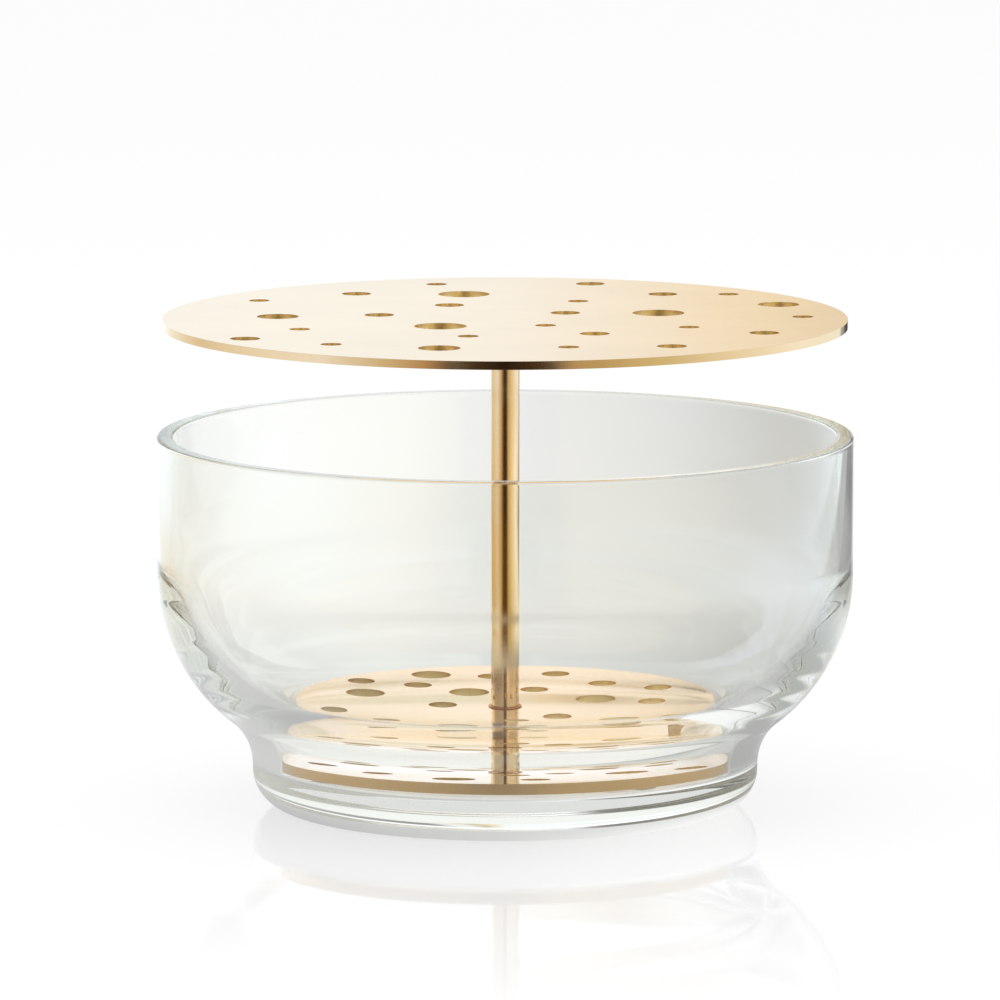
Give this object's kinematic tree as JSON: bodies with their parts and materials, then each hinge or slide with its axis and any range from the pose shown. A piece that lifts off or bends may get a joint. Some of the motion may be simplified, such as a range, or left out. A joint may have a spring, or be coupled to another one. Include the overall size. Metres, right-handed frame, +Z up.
{
  "type": "ikebana vase",
  "caption": "Footed clear glass bowl with a lift-out brass flower holder: a large drilled disc above the rim and a small drilled disc in the foot, joined by a rod.",
  "frame": {"origin": "on the table, under the middle of the glass foot", "axes": "+Z up along the stem, -Y towards the viewer of the picture, +X to the viewer's right"},
  "size_m": [0.2, 0.2, 0.1411],
  "materials": {
    "glass": "polished clear",
    "brass": "polished",
    "dark_brass": "satin",
    "clear_silicone": "clear soft"
  },
  "bodies": {
    "bowl": {"glass_bowl": "glass"},
    "collar": {"stem_collar": "dark_brass"},
    "holder": {"upper_plate": "brass", "lower_plate": "brass", "stem": "brass", "stem_screw": "brass", "bumper_1": "clear_silicone", "bumper_2": "clear_silicone", "bumper_3": "clear_silicone"}
  },
  "joints": [
    {"name": "insert_lift", "type": "slide", "parent": "bowl", "child": "collar", "axis": [0, 0, 1], "range_m": [0, 0.12]},
    {"name": "insert_turn", "type": "hinge", "parent": "collar", "child": "holder", "pos_m": [0, 0, 0.08], "axis": [0, 0, 1], "continuous": true}
  ]
}
